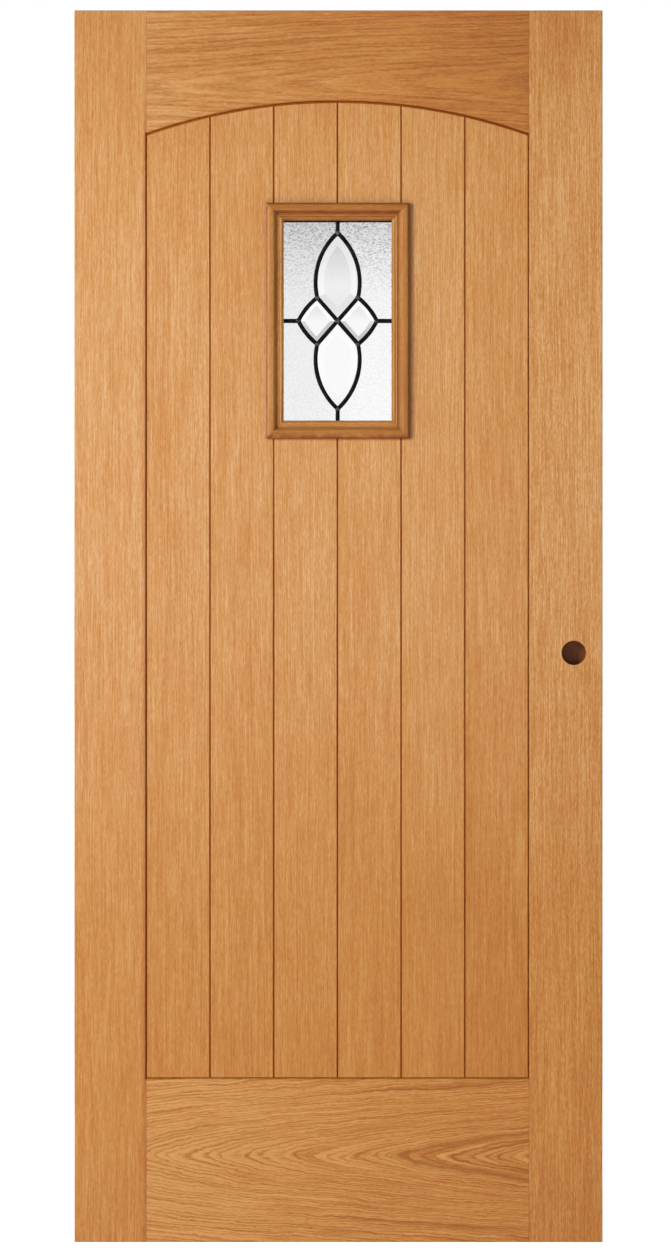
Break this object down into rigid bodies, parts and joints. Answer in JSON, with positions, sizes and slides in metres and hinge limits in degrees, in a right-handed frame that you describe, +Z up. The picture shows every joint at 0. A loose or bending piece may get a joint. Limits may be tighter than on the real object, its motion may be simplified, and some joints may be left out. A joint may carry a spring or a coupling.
{
  "type": "external door",
  "caption": "Framed and boarded oak door leaf with an arched top rail, V-jointed boards, a small moulded leaded window and a round lock bore.",
  "frame": {"origin": "middle of the hinge edge: mid-height and mid-thickness of the frame", "axes": "+X from the hinge edge to the lock edge, the front faces -Y, +Z up"},
  "size_m": [0.915, 0.0545, 2.134],
  "materials": {
    "oak_frame": "satin stained oak",
    "oak_boards": "satin stained oak",
    "oak_moulding": "satin stained oak, darker",
    "lead": "blackened lead with a slight sheen",
    "patterned_glass": "clear with a fine hammered pattern",
    "bevelled_glass": "clear, polished and bevelled"
  },
  "bodies": {
    "root": {"hinge_stile": "oak_frame", "lock_stile": "oak_frame", "top_rail": "oak_frame", "bottom_rail": "oak_frame", "board_1": "oak_boards", "board_2": "oak_boards", "board_3_lower": "oak_boards", "board_3_upper": "oak_boards", "board_4_lower": "oak_boards", "board_4_upper": "oak_boards", "board_5": "oak_boards", "board_6": "oak_boards", "moulding_top": "oak_moulding", "moulding_bottom": "oak_moulding", "moulding_left": "oak_moulding", "moulding_right": "oak_moulding", "bead_top": "oak_moulding", "bead_bottom": "oak_moulding", "bead_left": "oak_moulding", "bead_right": "oak_moulding", "lead_came": "lead", "pane_upper_left": "patterned_glass", "pane_upper_right": "patterned_glass", "pane_lower_left": "patterned_glass", "pane_lower_right": "patterned_glass", "bevel_upper": "bevelled_glass", "bevel_lower": "bevelled_glass", "bevel_left": "bevelled_glass", "bevel_right": "bevelled_glass"}
  },
  "joints": []
}
